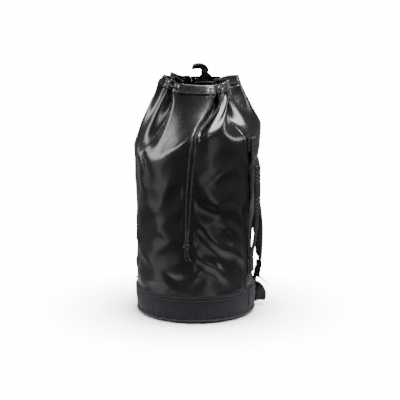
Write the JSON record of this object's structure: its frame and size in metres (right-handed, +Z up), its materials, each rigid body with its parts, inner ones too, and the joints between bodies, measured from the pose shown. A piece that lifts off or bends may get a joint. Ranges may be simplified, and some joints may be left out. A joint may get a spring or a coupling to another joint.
{
  "type": "rope storage bag",
  "caption": "Standing tube bag for rope: coated fabric on a woven piped base, mouth gathered by a drawcord through eyelets, padded back straps, a side carry handle and a haul loop.",
  "frame": {"origin": "middle of the base's underside, on the floor the bag stands on", "axes": "+Z up along the tube; the knotted cord hangs down the front, -Y; the shoulder straps are on the back, +Y; the carry handle is on the right, +X"},
  "size_m": [0.3492, 0.3283, 0.6126],
  "materials": {
    "coated_fabric": "glossy black coated fabric",
    "base_fabric": "matte charcoal woven fabric",
    "webbing": "black woven webbing",
    "cord": "black braided cord",
    "eyelet_metal": "dark nickel plate, worn bright",
    "moulded_plastic": "black moulded, fine texture",
    "board": "dark board"
  },
  "bodies": {
    "bag": {"back_yoke": "base_fabric", "base_band": "base_fabric", "base_disc": "base_fabric", "base_piping": "base_fabric", "base_stiffener": "board", "base_wing_left": "base_fabric", "base_wing_right": "base_fabric", "body_shell": "coated_fabric", "drawcord_end_left": "cord", "drawcord_end_right": "cord", "drawcord_knot": "cord", "drawcord_rim": "cord", "drawcord_tail_left": "cord", "drawcord_tail_right": "cord", "eyelet_01": "eyelet_metal", "eyelet_02": "eyelet_metal", "eyelet_03": "eyelet_metal", "eyelet_04": "eyelet_metal", "eyelet_05": "eyelet_metal", "eyelet_06": "eyelet_metal", "eyelet_07": "eyelet_metal", "eyelet_08": "eyelet_metal", "eyelet_09": "eyelet_metal", "eyelet_10": "eyelet_metal", "eyelet_11": "eyelet_metal", "eyelet_12": "eyelet_metal", "eyelet_washer_01": "eyelet_metal", "eyelet_washer_02": "eyelet_metal", "eyelet_washer_03": "eyelet_metal", "eyelet_washer_04": "eyelet_metal", "eyelet_washer_05": "eyelet_metal", "eyelet_washer_06": "eyelet_metal", "eyelet_washer_07": "eyelet_metal", "eyelet_washer_08": "eyelet_metal", "eyelet_washer_09": "eyelet_metal", "eyelet_washer_10": "eyelet_metal", "eyelet_washer_11": "eyelet_metal", "eyelet_washer_12": "eyelet_metal", "haul_loop_stub": "webbing", "mouth_hem": "coated_fabric", "side_handle_end_foot": "webbing", "side_handle_end_top": "webbing", "side_handle_patch_foot": "base_fabric", "side_handle_patch_top": "base_fabric", "strap_lower_left": "webbing", "strap_lower_right": "webbing", "strap_top_left": "webbing", "strap_top_right": "webbing"},
    "haul_loop": {"haul_loop": "webbing"},
    "side_handle": {"side_handle_webbing": "webbing", "side_handle_grip": "moulded_plastic"},
    "strap_right": {"strap_webbing_right": "webbing", "strap_pad_right": "base_fabric", "ladder_lock_right": "moulded_plastic", "strap_tail_right": "webbing"},
    "strap_left": {"strap_webbing_left": "webbing", "strap_pad_left": "base_fabric", "ladder_lock_left": "moulded_plastic", "strap_tail_left": "webbing"}
  },
  "joints": [
    {"name": "haul_loop_swing", "type": "hinge", "parent": "bag", "child": "haul_loop", "pos_m": [0.00651, 0.07372, 0.58472], "axis": [-0.9903, -0.1392, 0], "range_deg": [-50, 50]},
    {"name": "side_handle_swing", "type": "hinge", "parent": "bag", "child": "side_handle", "pos_m": [0.1463, -0.02519, 0.14599], "axis": [0.0186, -0.03, 0.9994], "range_deg": [-16, 16]},
    {"name": "strap_right_swing", "type": "hinge", "parent": "bag", "child": "strap_right", "pos_m": [0.13738, 0.0721, 0.0728], "axis": [-0.2883, 0.2168, 0.9327], "range_deg": [-12, 12]},
    {"name": "strap_left_swing", "type": "hinge", "parent": "bag", "child": "strap_left", "pos_m": [-0.13738, 0.0721, 0.0728], "axis": [0.2883, 0.2168, 0.9327], "range_deg": [-12, 12]}
  ]
}
